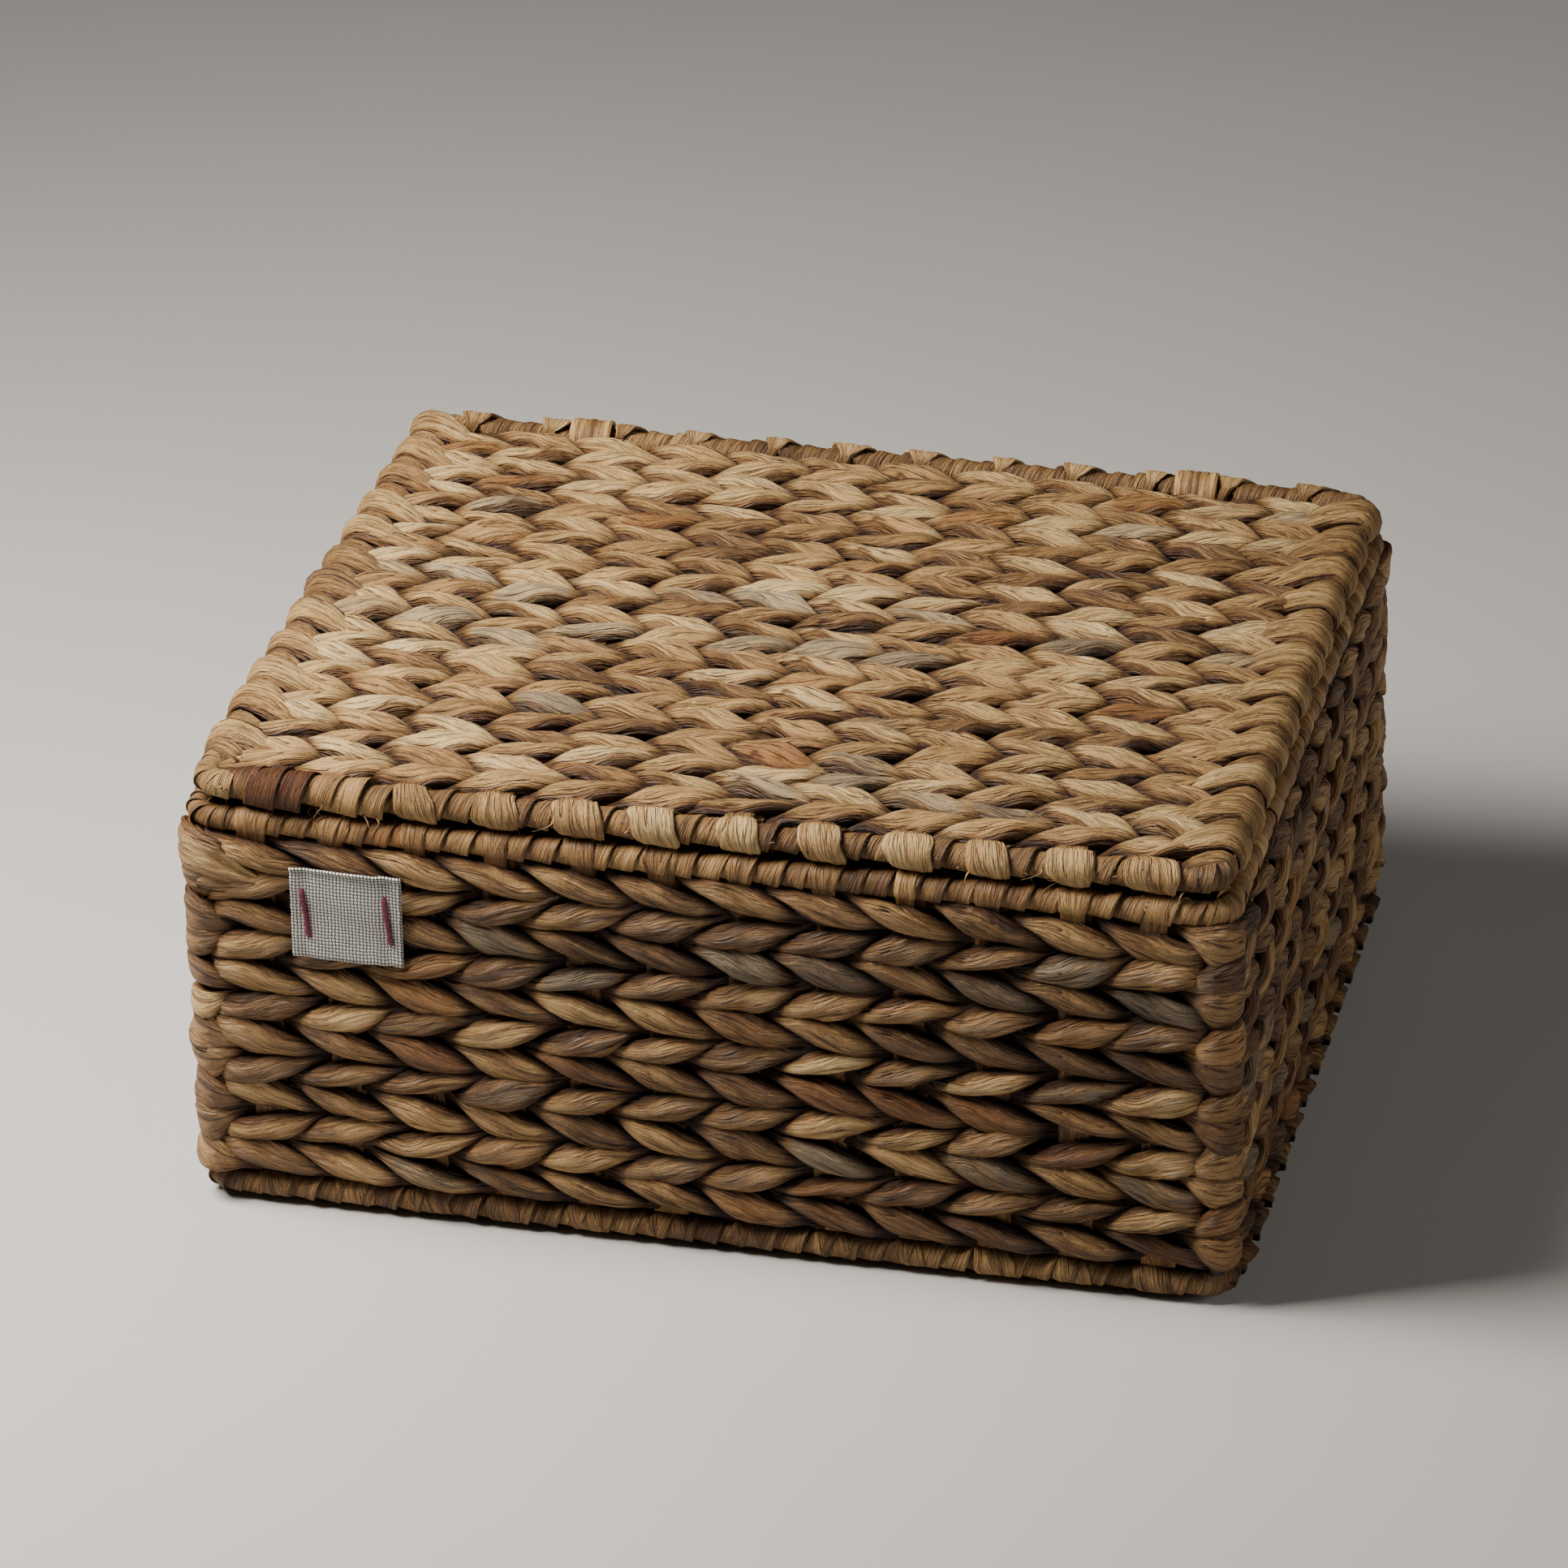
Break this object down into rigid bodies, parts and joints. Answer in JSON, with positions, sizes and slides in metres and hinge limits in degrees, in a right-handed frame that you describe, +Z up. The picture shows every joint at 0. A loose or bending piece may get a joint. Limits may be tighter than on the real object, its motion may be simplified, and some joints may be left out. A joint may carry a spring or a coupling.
{
  "type": "lidded storage basket",
  "caption": "Rectangular storage box twined from flat plant strands over a wire frame, with a flat woven lid hinged at the back.",
  "frame": {"origin": "middle of the underside, at the floor, on the centre of the overall width and depth", "axes": "+X to the right along the labelled front, +Y from the front to the hinged back, +Z up"},
  "size_m": [0.3306, 0.2739, 0.1516],
  "materials": {
    "wall_strand": "matte",
    "lid_strand": "matte",
    "base_strand": "matte",
    "stake_fibre": "matte",
    "wrap_fibre": "matte",
    "lashing_fibre": "matte",
    "steel_wire": "satin",
    "label_cotton": "matte",
    "label_thread": "matte"
  },
  "bodies": {
    "basket": {"base_frame_wire": "steel_wire", "rim_frame_wire": "steel_wire", "corner_post_front_right": "steel_wire", "corner_post_back_right": "steel_wire", "corner_post_back_left": "steel_wire", "corner_post_front_left": "steel_wire", "base_weave": "base_strand", "base_stakes": "stake_fibre", "front_weave": "wall_strand", "right_weave": "wall_strand", "back_weave": "wall_strand", "left_weave": "wall_strand", "front_stakes": "stake_fibre", "right_stakes": "stake_fibre", "back_stakes": "stake_fibre", "left_stakes": "stake_fibre", "base_corner_wrap_front_right": "wrap_fibre", "base_corner_wrap_back_right": "wrap_fibre", "base_corner_wrap_back_left": "wrap_fibre", "base_corner_wrap_front_left": "wrap_fibre", "rim_corner_wrap_front_right": "wrap_fibre", "rim_corner_wrap_back_right": "wrap_fibre", "rim_corner_wrap_back_left": "wrap_fibre", "rim_corner_wrap_front_left": "wrap_fibre", "hinge_lashing_left": "lashing_fibre", "hinge_lashing_right": "lashing_fibre", "label_patch": "label_cotton", "label_stitch_left": "label_thread", "label_stitch_right": "label_thread"},
    "lid": {"lid_frame_wire": "steel_wire", "lid_weave": "lid_strand", "lid_stakes": "stake_fibre", "lid_corner_wrap_front_right": "wrap_fibre", "lid_corner_wrap_back_right": "wrap_fibre", "lid_corner_wrap_back_left": "wrap_fibre", "lid_corner_wrap_front_left": "wrap_fibre"}
  },
  "joints": [
    {"name": "lid_hinge", "type": "hinge", "parent": "basket", "child": "lid", "pos_m": [0, 0.129, 0.14451], "axis": [-1, 0, 0], "range_deg": [0, 180]}
  ]
}
